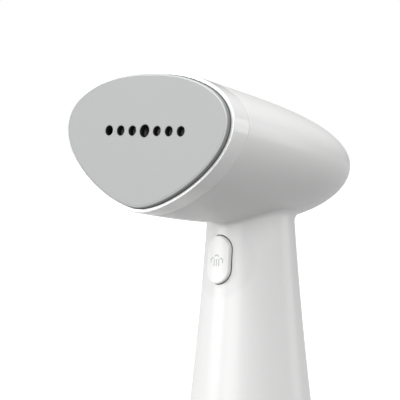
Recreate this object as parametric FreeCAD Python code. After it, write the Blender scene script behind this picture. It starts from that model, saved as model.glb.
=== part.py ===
import FreeCAD, Part
import math
import os
from FreeCAD import Placement, Rotation, Vector

# Handheld garment steamer, in millimetres. The origin is the centre of the foot, on the handle's axis,
# with +Z up and the steam plate facing -Y. Pieces of the head are drawn in the head's own frame
# (x across, y back from the plate's face, z up the plate) and then placed with the head's tilt.

# ---- head, outside ----
plate_half_width = 55.0
plate_half_height = 37.1
plate_proud = 2.7           # plate's face in front of the bezel's rim
plate_height = 218.0        # plate's centre above the foot
plate_reach = 79.3          # plate's centre in front of the handle's axis
head_tilt = 9.4             # degrees, the plate leans back
head_length = 145.0         # plate's face to the tip of the nose
rim_grow = 2.2              # bezel's rim outside the plate's edge
bezel_depth = 11.4
shell_wall = 2.4
side_taper = 0.24           # how much the head narrows, seen from above
side_taper_power = 1.41
top_taper = 0.16            # how much it thins, seen from the side
top_taper_power = 1.06
nose_power = 3.5            # bluntness of the nose
belly_drop = -4.12          # the head's centre line dips, then rises to the nose
belly_rise = 5.41
seam_round = 0.3
rim_round = 0.7

# the plate's rounded triangle: how much each multiple of the angle adds to a plain oval
width_third = 0.1691
width_fifth = 0.0045
height_second = 0.106
height_third = 0.0927
height_fourth = 0.0164

# ---- handle and tank, outside ----
handle_radius = 23.0        # at the neck
neck_drop = 49.7            # neck below the plate's centre
handle_lean = 11.9          # radius gained from the neck to the floor, straight part
handle_sweep = 7.36         # and curved part
handle_sink = 22.0          # the handle's top end, inside the head, below the plate's centre
junction_fillet = 2.5
tank_height = 76.0
tank_wall = 2.0
tank_floor = 3.8
tank_round = 3.0
part_gap = 0.4              # visible joint between housing and tank
foot_thick = 2.4
foot_recess = 1.6           # how deep the foot pad sits in the tank
foot_margin = 7.3           # tank's wall outside the foot pad
foot_chamfer = 0.4

# ---- steam button ----
button_width = 14.8
button_height = 24.8
button_drop = 65.0          # button's centre below the plate's centre
button_proud = 2.0
button_travel = 1.6
button_gap = 0.3
button_round = 0.8
button_hole_round = 0.35
button_seat = 5.9           # button's flange inside the handle's wall
button_flange = 1.4
button_lip = 1.9
collar_wall = 2.0           # guide round the button's hole
spring_wire = 0.5
spring_radius = 2.2
spring_turns = 5
spring_rise = 9.5           # springs above and below the button's centre
spring_post = 1.3
spring_post_length = 2.2
switch_half_width = 10.0
switch_half_height = 3.2
switch_play = 0.4
switch_pin = 1.2
switch_pin_hole = 3.3
switch_pin_seat = 1.4
switch_peg = 1.1
switch_peg_x = 6.5
switch_peg_length = 3.6

# ---- steam plate ----
plate_face = 3.2
plate_skirt = 10.0
skirt_wall = 2.2
plate_edge = 1.2
plate_gap = 0.6             # round the plate, to the bezel
small_hole = 4.9
middle_hole = 6.2
hole_pitch = 8.11
middle_extra = 0.4          # wider pitch next to the middle hole
holes_each_side = 3
hole_height = 1.55
hole_chamfer = 0.35
plate_boss = 2.6
boss_length = 3.0
plate_screw_inset = 5.8
thread_bite = 1.2           # screws reach this far into the plate's face
plate_screw_angles = (38, 142, 222, 318)
gasket_inset = 9.95
gasket_width = 3.6

# ---- steam chamber, cover and element ----
flange_inset = 3.0
flange_thick = 3.0
block_inset = 8.6
block_depth = 15.0
cavity_inset = 18.4
cavity_squash = 0.93        # the cavity is an oval, flatter than the plate
rib_pitch = 18.0
rib_half_width = 1.0
rib_half_height = 10.0
rib_offset = 2.5
rib_short = 4.0
steam_port = 2.0
element_radius = 3.0
element_inset = 13.2
element_set = 6.3           # element's centre behind the flange
element_opening = 62.0      # degrees, half the gap at the foot of the horseshoe
pin_bend = 7.0
pin_length = 12.0
gasket_thick = 0.8
cover_thick = 3.0
cover_screw_angles = (-18, 22, 90, 158, 198)
cover_screw_inset = 11.2
cover_screw_radius = 1.25
cover_screw_depth = 4.0     # thread in the chamber

# ---- fittings on the cover ----
inlet_z = -12.0
inlet_thread = 2.8
nozzle_hexagon = 4.2
nozzle_hexagon_height = 3.0
nozzle_barb = 2.0
nozzle_bore = 1.0
nozzle_length = 15.0
fitting_x = 17.0            # thermostat on one side, thermal fuse on the other
fitting_z = 2.0
thermostat_radius = 8.0
thermostat_height = 7.0
thermostat_rim = 1.2
tab_spread = 4.0
tab_thick = 0.8
tab_half_width = 3.0
tab_root = 6.0
tab_tip = 15.0
fuse_radius = 2.6
fuse_length = 16.0
fuse_lift = 0.2
fuse_lead_radius = 0.6
fuse_lead_length = 5.0
clip_thick = 0.8
clip_half = 4.0
clip_foot = 8.5

# ---- bezel's tongue and the carrier ----
tongue = 4.0
tongue_wall = 1.6
carrier_thick = 2.5
carrier_screw_angles = (8, 172, 245, 295)
carrier_screw_length = 10.0
carrier_rim = 0.5           # carrier's rim under the chamber's block
wall_rib_length = 12.0
wall_rib_half = 1.2
boss_sink = 1.0             # bosses reach this far into the wall from outside

# ---- screws ----
screw_radius = 1.5
screw_head = 2.3
screw_head_height = 1.8
small_screw_radius = 1.2
small_screw_head = 2.2
small_screw_head_height = 1.5
dock_screw_head = 2.6
recess_share = 0.45         # driver recess, of the head's radius

# ---- dock plate between handle and tank ----
dock_rise = 2.0             # dock plate above the tank's rim
dock_thick = 2.4
spigot_depth = 3.5          # spigot below the tank's rim
spigot_wall = 1.5
seal_section = 1.0
seal_height = 2.0
seal_rise = 1.0
port_radius = 6.5
port_extra = 0.5            # port below the spigot
nipple = 3.0
nipple_gap = 0.4
nipple_reach = 3.5
port_seal_height = 2.0
port_seal_radius = 5.0
feed_bore = 1.2
feed_barb = 2.2
feed_barb_length = 3.6
feed_tube_wall = 1.2
feed_tube_length = 8.2
dock_boss = 3.2
dock_boss_length = 14.0
dock_boss_inset = 4.8
dock_boss_angles = (-90, 30, 150)
dock_boss_floor = 3.0
dock_screw_length = 11.0

# ---- pump ----
pump_y = 6.5
pump_rise = 9.6             # pump above the dock plate
pump_radius = 5.5
pump_bore = 4.05
pump_length = 54.0
pump_base = 10.0            # solid end under the bore
pump_port = 1.1
pump_stub = 5.0
yoke_height = 28.0
yoke_thick = 1.8
yoke_half = 13.6
yoke_half_width = 9.0
coil_radius = 11.5
coil_gap = 0.4
coil_lip = 1.5
coil_recess = 1.2
plunger_play = 2.0
plunger_length = 20.0
plunger_bore = 1.4
pump_spring_radius = 2.9
pump_spring_wire = 0.8
pump_spring_turns = 6
valve_plug = 6.0
valve_collar = 4.0
valve_barb_length = 14.0
valve_bore = 1.0
hose_barb = 2.0
grommet_radius = 8.5
grommet_neck = 7.0
grommet_height = 5.0
shelf_thick = 2.0
shelf_radius = 10.0
shelf_rises = (3.5, 42.5)

# ---- chassis ----
chassis_front = -9.8
chassis_thick = 1.8
chassis_top_drop = 44.0
chassis_side_gap = 0.4
chassis_foot_x = 18.0
chassis_foot_y = -5.0
chassis_foot_half = 4.0
chassis_foot_height = 9.0
chassis_screw_length = 8.0

# ---- control board ----
board_half_width = 17.0
board_thick = 1.6
board_stand = 2.2
board_rise = 6.6            # board above the terminal block
board_drop = 0.6            # board below the button
board_screw_x = 14.0
board_screw_inset = 4.0
board_post = 2.6
board_screw_length = 5.0
relay_x = -5.0
relay_rise = 7.0            # relay above the board's lower edge
relay_width = 12.0
relay_height = 15.0
relay_depth = 5.6
capacitor_x = 6.5
capacitor_rise = 7.0        # capacitor's centre above the board's lower edge
capacitor_radius = 4.0
capacitor_depth = 7.5
triac_x = 6.5
triac_width = 10.0
triac_height = 10.0
triac_depth = 4.0
triac_inset = 4.0
terminal_half_width = 12.0
terminal_rise = 2.0
terminal_height = 9.0
terminal_depth = 7.5
terminal_pitch = 7.5
terminal_hole = 2.0
terminal_hole_depth = 2.5
terminal_hole_rise = 4.5

# ---- cord gland ----
gland_rise = 11.6           # gland's centre above the dock plate
gland_shank = 6.3
gland_flange = 8.5
gland_flange_depth = 8.0
gland_proud = 2.2
gland_round = 0.8
gland_bore = 3.4
nut_back_gap = 1.9
nut_depth = 2.8
nut_wall = 2.6

# ---- hose and heater leads ----
hose_radius = 3.4
hose_bend_share = 0.572     # of the room over the valve, what the hose's bend takes
hose_overlap = 8.0
clip_wall = 0.9
clip_width = 3.0
clip_inset = 3.0
lead_radius = 1.0
lead_x = 12.6
lead_y = -12.8
lead_bend = 5.0
lead_straight = 8.0
lead_reach = 24.0
lead_fall = 14.0

# ---- tank fittings ----
ledge_drop = 11.5           # tank's inner ledge below its rim
ledge_inset = 1.3
lid_drop = 10.0
lid_thick = 3.2
lid_groove = 1.4
lid_seal_height = 1.5
lid_seal_rise = 0.8
lid_spout = 2.6
lid_spout_length = 6.0
lid_bore = 1.5
filler_z = 40.0
filler_radius = 8.2
filler_depth = 8.0
flap_lip = 2.6
flap_thick = 2.4
flap_round = 0.7
plug_gap = 0.6
plug_depth = 2.0
plug_length = 3.4
hinge_drop = 13.0           # hinge below the filler's centre
hinge_out = 2.2
barrel_radius = 1.7
barrel_half = 3.0
ear_thick = 2.0
ear_wall = 0.4
tab_back = 0.9
tab_front = 0.2
hinge_pin = 0.8
strainer_radius = 5.5
strainer_rise = 1.5
strainer_length = 10.5
strainer_stub = 6.0
strainer_bore = 1.4
strainer_floor = 2.0
slit_half = 0.6
dip_tube_wall = 1.0
dip_tube_gap = 0.6

# ---- clearances ----
fit_gap = 0.3               # between separate bodies
slip = 0.15                 # between fixed pieces that locate each other
run_fit = 0.05              # radial, running or sealing fits
seat_gap = 0.1

# ---- places worked out from the sizes above ----
back_of_bezel = plate_proud + bezel_depth
flange_front = plate_face + boss_length
flange_back = flange_front + flange_thick
chamber_back = flange_back + block_depth
element_y = flange_back + element_set
cover_front = chamber_back + gasket_thick
cover_back = cover_front + cover_thick
pin_end = cover_back + pin_length
carrier_front = back_of_bezel + tongue + slip
carrier_back = carrier_front + carrier_thick

neck_z = plate_height - neck_drop
handle_top = plate_height - handle_sink
button_z = plate_height - button_drop
housing_foot = tank_height + part_gap
dock_bottom = tank_height + dock_rise
dock_top = dock_bottom + dock_thick
spigot_foot = tank_height - spigot_depth
port_foot = spigot_foot - port_extra
chassis_back = chassis_front + chassis_thick
chassis_top = plate_height - chassis_top_drop
gland_z = dock_top + gland_rise

pump_foot = dock_top + pump_rise
pump_top = pump_foot + pump_length
bore_foot = pump_foot + pump_base
plunger_foot = bore_foot + plunger_play
plunger_top = plunger_foot + plunger_length
valve_foot = pump_top - valve_plug
shelf_heights = [pump_foot + rise for rise in shelf_rises]

terminal_foot = dock_top + terminal_rise
terminal_top = terminal_foot + terminal_height
board_foot = terminal_top + board_rise
board_top = button_z - button_height / 2 - board_drop
board_back = chassis_front - board_stand
board_front = board_back - board_thick

ledge_z = tank_height - ledge_drop
lid_seat = tank_height - lid_drop
lid_top = lid_seat + lid_thick
tank_foot = foot_thick - foot_recess
floor_top = tank_foot + tank_floor
strainer_foot = floor_top + strainer_rise
strainer_top = strainer_foot + strainer_length

across = (1, 0, 0)
backwards = (0, 1, 0)
forwards = (0, -1, 0)
upwards = (0, 0, 1)
sides = (-1, 1)
far = 400.0                 # longer than the whole object, for half-spaces
past = 1.0                  # cutters run this far past what they cut
HEAD = Placement(Vector(0, -plate_reach, plate_height), Rotation(Vector(*across), -head_tilt))

os.makedirs("parts", exist_ok=True)
nodes = {}


# ---- helpers ----
def keep(name, shape):
    nodes[name] = shape


def headed(shape):
    """A copy of a shape drawn in the head's frame, in the object's frame."""
    out = shape.copy()
    out.Placement = HEAD.multiply(out.Placement)
    return out


def group(shapes):
    return Part.makeCompound(shapes)


def cyl(radius, length, base, axis):
    return Part.makeCylinder(radius, length, Vector(*base), Vector(*axis))


def tube(outer, inner, length, base, axis):
    return cyl(outer, length, base, axis).cut(cyl(inner, length, base, axis))


def block(x0, x1, y0, y1, z0, z1):
    return Part.makeBox(x1 - x0, y1 - y0, z1 - z0, Vector(x0, y0, z0))


def behind(y):
    """Everything behind a plane across the head."""
    return block(-far / 2, far / 2, y, y + far, -far / 2, far / 2)


def fuse_all(shapes):
    out = shapes[0]
    for shape in shapes[1:]:
        out = out.fuse(shape)
    return out.removeSplitter()


def edges_between(shape, low, high, axis="Y"):
    """Edges that lie wholly between two planes across an axis."""
    return [e for e in shape.Edges
            if getattr(e.BoundBox, axis + "Min") > low and getattr(e.BoundBox, axis + "Max") < high]


def round_edges_at(shape, radius, level, axis):
    """Rounds the curved edges that lie in the plane at a level of an axis."""
    edges = [e for e in edges_between(shape, level - 0.01, level + 0.01, axis) if e.Length > radius]
    return shape.makeFillet(radius, edges)


def smooth_loop(points):
    curve = Part.BSplineCurve()
    curve.interpolate(points, PeriodicFlag=True)
    return Part.Wire([curve.toShape()])


def prism(wire, length):
    return Part.Face(wire).extrude(Vector(0, length, 0))


def pill(width, height, y0, y1, z):
    """Upright pill-shaped prism along Y, centred on height z."""
    r = width / 2
    low, high = z - height / 2 + r, z + height / 2 - r
    edges = [
        Part.LineSegment(Vector(-r, y0, low), Vector(-r, y0, high)).toShape(),
        Part.Arc(Vector(-r, y0, high), Vector(0, y0, high + r), Vector(r, y0, high)).toShape(),
        Part.LineSegment(Vector(r, y0, high), Vector(r, y0, low)).toShape(),
        Part.Arc(Vector(r, y0, low), Vector(0, y0, low - r), Vector(-r, y0, low)).toShape(),
    ]
    return prism(Part.Wire(edges), y1 - y0)


def round_path(points, radius):
    """A wire of straight runs through the points, with a tangent arc at each inner point."""
    edges = []
    start = points[0]
    for before, corner, after in zip(points, points[1:], points[2:]):
        back = (before - corner).normalize()
        on = (after - corner).normalize()
        half = back.getAngle(on) / 2
        reach = radius / math.tan(half)
        first = corner + back * reach
        last = corner + on * reach
        middle = corner + (back + on).normalize() * (radius / math.sin(half) - radius)
        edges.append(Part.LineSegment(start, first).toShape())
        edges.append(Part.Arc(first, middle, last).toShape())
        start = last
    edges.append(Part.LineSegment(start, points[-1]).toShape())
    return Part.Wire(edges)


def pipe(path, radius):
    """A round bar along a wire that starts with a straight run."""
    first = path.OrderedEdges[0]
    start = first.valueAt(first.FirstParameter)
    way = first.tangentAt(first.FirstParameter)
    if (first.valueAt(first.LastParameter) - start).dot(way) < 0:
        way = way * -1
    ring = Part.Wire([Part.makeCircle(radius, start, way)])
    return path.makePipeShell([ring], True, False)


def coil_spring(radius, wire, length, turns, base, axis):
    """A coil spring with its seat at base, wound along axis."""
    pitch = (length - wire) / turns
    path = Part.Wire(Part.makeHelix(pitch, length - wire, radius).Edges)
    climb = Vector(0, 1, pitch / (2 * math.pi * radius))
    ring = Part.Wire([Part.makeCircle(wire / 2, Vector(radius, 0, 0), climb)])
    spring = path.makePipeShell([ring], True, True)
    spring.translate(Vector(0, 0, wire / 2))
    turned = Rotation(Vector(*upwards), Vector(*axis))
    spring.Placement = Placement(Vector(*base), turned).multiply(spring.Placement)
    return spring


def screw(head_radius, head_height, radius, length, base, axis):
    """A pan-head screw: base is the seat of its head, axis points along the shank."""
    along = Vector(*axis).normalize()
    seat = Vector(*base)
    head = Part.makeCylinder(head_radius, head_height, seat - along * head_height, along)
    shank = Part.makeCylinder(radius, length, seat, along)
    recess = Part.makeCylinder(head_radius * recess_share, head_height / 2, seat - along * head_height, along)
    return head.fuse(shank).cut(recess)


# ---- the head's outline and surface ----
def rounded_triangle(angle, fade=1.0):
    """Point of the plate's shape with half sizes of one; a fade of zero gives a circle."""
    third = width_third * fade
    fifth = width_fifth * fade
    x = (1 - third - fifth) * math.cos(angle) + third * math.cos(3 * angle) + fifth * math.cos(5 * angle)
    bumps = (height_second * math.cos(2 * angle) + height_third * math.sin(3 * angle)
             + height_fourth * math.cos(4 * angle))
    return x, math.sin(angle) + fade * bumps


def outline_point(angle, grow=0.0):
    """Point of the plate's edge at an angle, moved outwards by grow."""
    x, z = rounded_triangle(angle)
    dx = -((1 - width_third - width_fifth) * math.sin(angle) + 3 * width_third * math.sin(3 * angle)
           + 5 * width_fifth * math.sin(5 * angle)) * plate_half_width
    dz = (math.cos(angle) - 2 * height_second * math.sin(2 * angle) + 3 * height_third * math.cos(3 * angle)
          - 4 * height_fourth * math.sin(4 * angle)) * plate_half_height
    size = math.hypot(dx, dz)
    return x * plate_half_width + grow * dz / size, z * plate_half_height - grow * dx / size


def outline_slab(grow, y0, y1, count=48):
    """Prism of the plate's outline grown by grow, from y0 to y1 in the head's frame."""
    points = []
    for i in range(count):
        x, z = outline_point(2 * math.pi * i / count - math.pi / 2, grow)
        points.append(Vector(x, y0, z))
    return prism(smooth_loop(points), y1 - y0)


def cavity_slab(inset, y0, y1, count=32):
    """Prism of an oval inside the plate's outline, clear of its tight corners by inset."""
    half_width = plate_half_width - inset
    half_height = cavity_squash * plate_half_height - inset
    points = []
    for i in range(count):
        t = 2 * math.pi * i / count
        points.append(Vector(half_width * math.cos(t), y0, hole_height + half_height * math.sin(t)))
    return prism(smooth_loop(points), y1 - y0)


def head_section(u, inset, count=32):
    """The head's cross-section at a share u of its length: the plate's shape, easing to an ellipse."""
    end = math.sqrt(1 - u**nose_power)
    half_width = (plate_half_width + rim_grow - inset) * (1 - side_taper * u**side_taper_power) * end
    half_height = (plate_half_height + rim_grow - inset) * (1 - top_taper * u**top_taper_power) * end
    centre = belly_drop * u + belly_rise * u * u
    y = plate_proud + (head_length - inset - plate_proud) * u
    points = []
    for i in range(count):
        x, z = rounded_triangle(2 * math.pi * i / count - math.pi / 2, 1 - u**6)
        points.append(Vector(half_width * x, y, centre + half_height * z))
    return smooth_loop(points)


def head_solid(inset, sections=14):
    """The bullet-shaped head, its surface moved inwards by inset, in the head's frame."""
    profiles = [head_section(math.sin(math.pi / 2 * i / sections), inset) for i in range(sections)]
    profiles.append(Part.Vertex(Vector(0, head_length - inset, belly_drop + belly_rise)))
    return Part.makeLoft(profiles, True, False)


# ---- the handle's surface ----
def handle_r(z):
    share = (neck_z - z) / neck_z
    return handle_radius + handle_lean * share + handle_sweep * share * share


def handle_solid(inset, z0, z1, count=9):
    """The flared handle between two heights, its surface moved inwards by inset."""
    points = []
    for i in range(count):
        z = z0 + (z1 - z0) * i / (count - 1)
        points.append(Vector(handle_r(z) - inset, 0, z))
    side = Part.BSplineCurve()
    side.interpolate(points)
    foot = Vector(0, 0, z0)
    top = Vector(0, 0, z1)
    edges = [
        Part.LineSegment(foot, points[0]).toShape(),
        side.toShape(),
        Part.LineSegment(points[-1], top).toShape(),
        Part.LineSegment(top, foot).toShape(),
    ]
    return Part.Face(Part.Wire(edges)).revolve(Vector(0, 0, 0), Vector(*upwards), 360)


# ---- places shared by several pieces ----
def outline_places(angles, inset):
    return [outline_point(math.radians(angle), -inset) for angle in angles]


head_outer = head_solid(0)
head_inner = head_solid(shell_wall)
plate_screw_places = outline_places(plate_screw_angles, plate_screw_inset)
carrier_screw_places = outline_places(carrier_screw_angles, plate_screw_inset)
cover_screw_places = outline_places(cover_screw_angles, cover_screw_inset)

collar_radius = handle_r(tank_height) - shell_wall      # tank's mouth, in line with the housing's inside
spigot_radius = collar_radius - fit_gap
dock_boss_reach = collar_radius - dock_boss_inset
dock_boss_places = [(dock_boss_reach * math.cos(math.radians(a)), dock_boss_reach * math.sin(math.radians(a)))
                    for a in dock_boss_angles]
foot_radius = handle_r(0) - foot_margin

collar_back = button_seat - handle_r(button_z)
flange_y = collar_back + fit_gap
button_back = flange_y + button_flange
switch_front = button_back + button_travel + switch_play
spring_places = [button_z + side * spring_rise for side in sides]


# ---- steam plate and its gasket ----
def hole_places():
    places = []
    for step in range(-holes_each_side, holes_each_side + 1):
        extra = math.copysign(middle_extra, step) if step else 0.0
        places.append((step * hole_pitch + extra, small_hole if step else middle_hole))
    return places


def make_plate():
    body = outline_slab(0, 0, plate_skirt)
    body = body.makeFillet(plate_edge, edges_between(body, -0.01, 0.01))
    body = body.cut(outline_slab(-skirt_wall, plate_face, plate_skirt))
    for x, size in hole_places():
        mouth = Vector(x, 0, hole_height)
        sink = Part.makeCone(size / 2 + hole_chamfer, size / 2, hole_chamfer, mouth, Vector(*backwards))
        drill = cyl(size / 2, plate_face + 2 * past, (x, -past, hole_height), backwards)
        body = body.cut(drill).cut(sink)
    for x, z in plate_screw_places:
        body = body.fuse(cyl(plate_boss, boss_length, (x, plate_face, z), backwards))
        thread = (x, plate_face - thread_bite, z)
        body = body.cut(cyl(screw_radius, boss_length + thread_bite, thread, backwards))
    return body


def make_plate_gasket():
    outer = outline_slab(-gasket_inset, plate_face, flange_front)
    return outer.cut(outline_slab(-(gasket_inset + gasket_width), plate_face, flange_front))


keep("steam_plate", headed(make_plate()))
keep("plate_gasket", headed(make_plate_gasket()))


# ---- heating element ----
def element_end(place, way):
    """The bend and the straight pin at one end of the horseshoe, and the pin's place."""
    turned = place + (way + Vector(*backwards)) * pin_bend
    lean = math.sin(math.pi / 4)
    middle = place + way * (pin_bend * lean) + Vector(*backwards) * (pin_bend * (1 - lean))
    arc = Part.Arc(place, middle, turned).toShape()
    pin = Part.LineSegment(turned, Vector(turned.x, pin_end, turned.z)).toShape()
    return turned, arc, pin


def element_path(count=25):
    """Horseshoe along the plate's outline, both ends bent straight back as terminal pins."""
    opening = math.radians(element_opening)
    points = []
    for i in range(count):
        turn = opening - math.pi / 2 + 2 * (math.pi - opening) * i / (count - 1)
        x, z = outline_point(turn, -element_inset)
        points.append(Vector(x, element_y, z))
    curve = Part.BSplineCurve()
    curve.interpolate(points)
    loop = curve.toShape()
    first, last = loop.FirstParameter, loop.LastParameter
    left_place, left_arc, left_pin = element_end(loop.valueAt(first), loop.tangentAt(first) * -1)
    right_place, right_arc, right_pin = element_end(loop.valueAt(last), loop.tangentAt(last))
    return Part.Wire([left_pin, left_arc, loop, right_arc, right_pin]), [left_place, right_place]


element_wire, pin_places = element_path()
keep("heating_element", headed(pipe(element_wire, element_radius)))


# ---- steam chamber, its gasket and cover ----
def make_chamber():
    body = outline_slab(-flange_inset, flange_front, flange_back)
    body = body.fuse(outline_slab(-block_inset, flange_back, chamber_back))
    body = body.cut(cavity_slab(cavity_inset, flange_back, chamber_back))
    inside = cavity_slab(cavity_inset - 0.5, flange_back, chamber_back)
    for step in (-1, 0, 1):
        x = step * rib_pitch
        z = rib_offset if step else -rib_offset
        rib = block(x - rib_half_width, x + rib_half_width, flange_back, chamber_back - rib_short,
                    z - rib_half_height, z + rib_half_height)
        body = body.fuse(rib.common(inside))
    for step in (-1.5, -0.5, 0.5, 1.5):
        hole = (step * rib_pitch, flange_front - past, hole_height)
        body = body.cut(cyl(steam_port, flange_thick + 2 * past, hole, backwards))
    body = body.removeSplitter().cut(pipe(element_wire, element_radius + run_fit))
    for x, z in plate_screw_places:
        hole = (x, flange_front - past, z)
        body = body.cut(cyl(screw_radius + slip, flange_thick + 2 * past, hole, backwards))
    for x, z in cover_screw_places:
        hole = (x, chamber_back - cover_screw_depth, z)
        body = body.cut(cyl(cover_screw_radius, cover_screw_depth + past, hole, backwards))
    return body


def cover_slab(y0, y1):
    """A sheet over the chamber's block, pierced for the element's pins and the cover's screws."""
    body = outline_slab(-block_inset, y0, y1)
    length = y1 - y0 + 2 * past
    for pin in pin_places:
        body = body.cut(cyl(element_radius + fit_gap, length, (pin.x, y0 - past, pin.z), backwards))
    for x, z in cover_screw_places:
        body = body.cut(cyl(cover_screw_radius + slip, length, (x, y0 - past, z), backwards))
    return body


def make_cover():
    body = cover_slab(cover_front, cover_back)
    return body.cut(cyl(inlet_thread, cover_thick + 2 * past, (0, cover_front - past, inlet_z), backwards))


def make_cover_screws():
    length = cover_thick + gasket_thick + cover_screw_depth - slip
    return group([screw(small_screw_head, screw_head_height, cover_screw_radius, length,
                        (x, cover_back, z), forwards) for x, z in cover_screw_places])


keep("steam_chamber", headed(make_chamber()))
cavity = cavity_slab(cavity_inset, chamber_back, cover_front)
keep("chamber_gasket", headed(cover_slab(chamber_back, cover_front).cut(cavity)))
keep("chamber_cover", headed(make_cover()))
keep("cover_screws", headed(make_cover_screws()))


# ---- water inlet, thermostat and thermal fuse on the cover ----
def make_nozzle():
    corners = []
    for i in range(7):
        x = nozzle_hexagon * math.cos(math.pi / 3 * i)
        z = nozzle_hexagon * math.sin(math.pi / 3 * i)
        corners.append(Vector(x, cover_back, inlet_z + z))
    body = prism(Part.makePolygon(corners), nozzle_hexagon_height)
    body = body.fuse(cyl(inlet_thread - run_fit, cover_thick, (0, cover_front, inlet_z), backwards))
    body = body.fuse(cyl(nozzle_barb, nozzle_length, (0, cover_back, inlet_z), backwards))
    return body.cut(cyl(nozzle_bore, cover_thick + nozzle_length, (0, cover_front, inlet_z), backwards))


def make_thermostat():
    x = -fitting_x
    cup = cyl(thermostat_radius, thermostat_height, (x, cover_back, fitting_z), backwards)
    rim = cyl(thermostat_radius + thermostat_rim, thermostat_rim, (x, cover_back, fitting_z), backwards)
    tabs = [block(x + side * tab_spread - tab_thick / 2, x + side * tab_spread + tab_thick / 2,
                  cover_back + tab_root, cover_back + tab_tip,
                  fitting_z - tab_half_width, fitting_z + tab_half_width) for side in sides]
    return fuse_all([cup, rim] + tabs)


def fuse_bar(radius, half):
    """A bar along the thermal fuse's axis."""
    return cyl(radius, 2 * half, (fitting_x - half, cover_back + fuse_radius + fuse_lift, fitting_z), across)


def make_fuse():
    body = fuse_bar(fuse_radius, fuse_length / 2)
    return body.fuse(fuse_bar(fuse_lead_radius, fuse_length / 2 + fuse_lead_length))


def make_fuse_clip():
    bore = fuse_radius + run_fit
    outer = bore + clip_thick

    def strap(depth, half):
        return block(fitting_x - clip_half, fitting_x + clip_half, cover_back, cover_back + depth,
                     fitting_z - half, fitting_z + half)

    walls = strap(fuse_radius + fuse_lift, outer)
    body = fuse_all([fuse_bar(outer, clip_half), walls, strap(clip_thick, clip_foot)])
    return body.cut(fuse_bar(bore, clip_half + past)).common(behind(cover_back))


keep("inlet_nozzle", headed(make_nozzle()))
keep("thermostat", headed(make_thermostat()))
keep("thermal_fuse", headed(make_fuse()))
keep("fuse_clip", headed(make_fuse_clip()))


# ---- front bezel ----
def make_bezel():
    body = head_outer.cut(behind(back_of_bezel))
    body = body.makeFillet(rim_round, edges_between(body, plate_proud - 0.01, plate_proud + 0.01))
    body = body.makeFillet(seam_round, edges_between(body, back_of_bezel - 0.01, back_of_bezel + 0.01))
    lip = head_solid(shell_wall + slip).common(behind(back_of_bezel - tongue_wall))
    body = body.fuse(lip.cut(behind(back_of_bezel + tongue)))
    hollow = head_solid(shell_wall + slip + tongue_wall).common(behind(plate_skirt + plate_gap))
    return body.cut(hollow).cut(outline_slab(plate_gap, 0, plate_skirt + plate_gap))


keep("front_bezel", headed(make_bezel()))


# ---- carrier that holds the chamber in the head ----
def make_carrier():
    plate = head_solid(shell_wall + fit_gap).common(behind(carrier_front)).cut(behind(carrier_back))
    pieces = [plate.cut(outline_slab(carrier_rim - block_inset, carrier_front, carrier_back))]
    for x, z in plate_screw_places:
        pieces.append(cyl(plate_boss, carrier_back - flange_back, (x, flange_back, z), backwards))
    body = fuse_all(pieces).cut(outline_slab(seat_gap - block_inset, flange_back - past, carrier_back + past))
    for x, z in plate_screw_places + carrier_screw_places:
        length = carrier_back - flange_back + 2 * past
        body = body.cut(cyl(screw_radius + slip, length, (x, flange_back - past, z), backwards))
    return body


def head_screws(length, places, y, axis):
    return group([screw(screw_head, screw_head_height, screw_radius, length, (x, y, z), axis)
                  for x, z in places])


keep("chamber_carrier", headed(make_carrier()))
plate_screw_length = carrier_back - plate_face + thread_bite / 2
plate_screws = head_screws(plate_screw_length, plate_screw_places, carrier_back, forwards)
carrier_screws = head_screws(carrier_screw_length, carrier_screw_places, carrier_front, backwards)
keep("plate_screws", headed(plate_screws))
keep("carrier_screws", headed(carrier_screws))


# ---- main housing ----
def wall_boss(x, z):
    """Screw boss for the carrier, tied to the head's wall by a rib, in the head's frame."""
    rib_back = carrier_back + carrier_screw_length
    rib = block(0, wall_rib_length, carrier_back, rib_back, -wall_rib_half, wall_rib_half)
    rib.Placement = Placement(Vector(x, 0, z), Rotation(Vector(*backwards), -math.degrees(math.atan2(z, x))))
    boss = cyl(plate_boss, carrier_screw_length, (x, carrier_back, z), backwards).fuse(rib)
    boss = boss.common(head_solid(boss_sink))
    return boss.cut(cyl(screw_radius, carrier_screw_length, (x, carrier_front + fit_gap, z), backwards))


def dock_post(x, y):
    """Screw boss over the dock plate, tied to the handle's wall by a web."""
    boss = cyl(dock_boss, dock_boss_length, (x, y, dock_top), upwards)
    web_length = shell_wall + dock_boss_inset
    web = block(0, web_length, -wall_rib_half, wall_rib_half, dock_top, dock_top + dock_boss_length)
    web.Placement = Placement(Vector(x, y, 0), Rotation(Vector(*upwards), math.degrees(math.atan2(y, x))))
    post = boss.fuse(web).common(handle_solid(boss_sink, dock_top, handle_top))
    return post.cut(cyl(screw_radius, dock_boss_length - dock_boss_floor, (x, y, dock_top), upwards))


def housing_outside():
    head = head_outer.common(behind(back_of_bezel))
    head = round_edges_at(head, seam_round, back_of_bezel, "Y")
    handle = round_edges_at(handle_solid(0, housing_foot, handle_top), seam_round, housing_foot, "Z")
    body = headed(head).fuse(handle)
    reach = handle_radius + junction_fillet
    joint = [e for e in edges_between(body, neck_z - 2 * junction_fillet, handle_top, "Z")
             if max(-e.BoundBox.XMin, e.BoundBox.XMax, -e.BoundBox.YMin, e.BoundBox.YMax) < reach]
    return body.makeFillet(junction_fillet, joint)


def button_hole(grow, y1):
    """Prism of the button's outline grown by grow, from in front of the handle back to y1."""
    return pill(button_width + 2 * grow, button_height + 2 * grow, -2 * handle_r(button_z), y1, button_z)


def round_button_hole(body):
    """Rounds the edges that the button's hole makes with the handle's surface."""
    low, high = button_z - button_height / 2 - past, button_z + button_height / 2 + past
    mouth = [e for e in edges_between(body, low, high, "Z")
             if e.BoundBox.YMax < 0 and e.BoundBox.XLength < button_width + 2
             and min(math.hypot(v.X, v.Y) - handle_r(v.Z) for v in e.Vertexes) > -seat_gap]
    return body.makeFillet(button_hole_round, mouth)


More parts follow.
